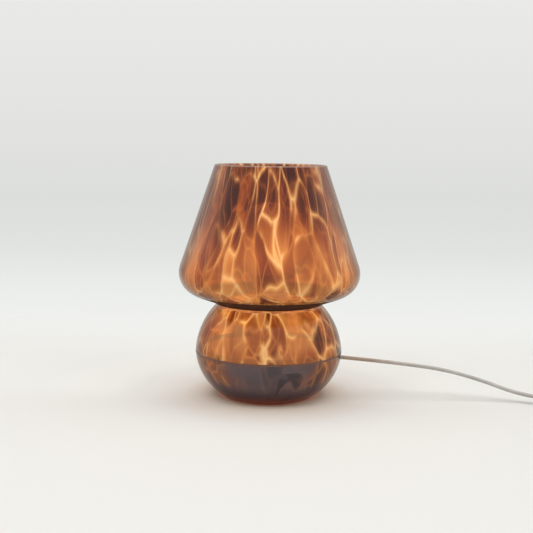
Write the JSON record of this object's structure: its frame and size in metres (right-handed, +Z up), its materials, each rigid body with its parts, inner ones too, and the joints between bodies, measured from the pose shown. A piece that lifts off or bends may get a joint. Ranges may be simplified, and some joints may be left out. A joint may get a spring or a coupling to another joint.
{
  "type": "mushroom table lamp",
  "caption": "Table lamp with an open-topped cone shade and round base of mottled glass, a screw-in globe bulb, a weighted foot, and a cord with inline switch and plug.",
  "frame": {"origin": "on the floor under the lamp's vertical axis", "axes": "+Z up along the lamp's axis; the cord leaves towards +X; the pictured front looks towards -Y"},
  "size_m": [0.5088, 0.2712, 0.24],
  "materials": {
    "shade_glass": "tortoiseshell glass, polished",
    "bowl_glass": "tortoiseshell glass, polished",
    "clear_seal": "clear silicone",
    "black_rubber": "matt",
    "cream_sheet": "satin",
    "cast_iron": "black primer",
    "zinc_steel": "zinc plated",
    "brass": "bright",
    "white_plastic": "satin",
    "black_plastic": "gloss",
    "ceramic_white": "matt",
    "opal": "opal, lit",
    "nickel": "nickel plated",
    "board": "solder mask",
    "cord_sheath": "translucent sheath",
    "clear_plastic": "gloss",
    "wire_brown": "wire sheath"
  },
  "bodies": {
    "base": {"glass_bowl": "bowl_glass", "upper_gasket": "clear_seal", "lower_gasket": "black_rubber", "tray": "cream_sheet", "ballast_weight": "cast_iron", "ballast_pad": "black_rubber", "bottom_bolt": "zinc_steel", "bottom_steel_washer": "zinc_steel", "bottom_rubber_washer": "black_rubber", "tray_screws": "zinc_steel", "foot_ring": "clear_seal", "stem_tube": "brass", "stem_lower_nut": "brass", "stem_washer": "brass", "stem_upper_nut": "brass", "holder_locknut": "brass", "holder_cap": "white_plastic", "holder_shell": "white_plastic", "holder_insert": "ceramic_white", "thread_contact": "brass", "centre_contact": "brass", "terminal_screws": "zinc_steel", "cord_grommet": "black_rubber", "cord_clamp": "zinc_steel", "cord_clamp_screws": "zinc_steel", "cord_inner": "cord_sheath", "lead_wires": "wire_brown", "cord_run_a": "cord_sheath", "switch_lower_shell": "clear_plastic", "switch_upper_shell": "clear_plastic", "switch_contacts": "brass", "switch_screws": "zinc_steel", "cord_run_b": "cord_sheath", "cord_coil": "cord_sheath", "cord_run_c": "cord_sheath", "plug_body": "clear_plastic", "plug_pins": "nickel"},
    "shade": {"glass_shade": "shade_glass"},
    "bulb_foot": {"bulb_tip_contact": "nickel"},
    "bulb": {"bulb_globe": "opal", "bulb_housing": "white_plastic", "bulb_cap": "nickel", "bulb_insulator": "black_plastic", "led_board": "board", "driver_board": "board"},
    "rocker": {"switch_rocker": "white_plastic"}
  },
  "joints": [
    {"name": "shade_lift", "type": "slide", "parent": "base", "child": "shade", "axis": [0, 0, 1], "range_m": [0, 0.17]},
    {"name": "bulb_rise", "type": "slide", "parent": "base", "child": "bulb_foot", "axis": [0, 0, 1], "range_m": [0, 0.01634]},
    {"name": "bulb_turn", "type": "hinge", "parent": "bulb_foot", "child": "bulb", "pos_m": [0, 0, 0.1], "axis": [0, 0, 1], "range_deg": [0, 1620]},
    {"name": "rocker_tilt", "type": "hinge", "parent": "base", "child": "rocker", "pos_m": [0.327, -0.035, 0.0108], "axis": [0, 1, 0], "range_deg": [-20, 0]}
  ],
  "couplings": [
    {"joint": "bulb_rise", "follows": "bulb_turn", "m_per_rad": 0.00057757}
  ]
}
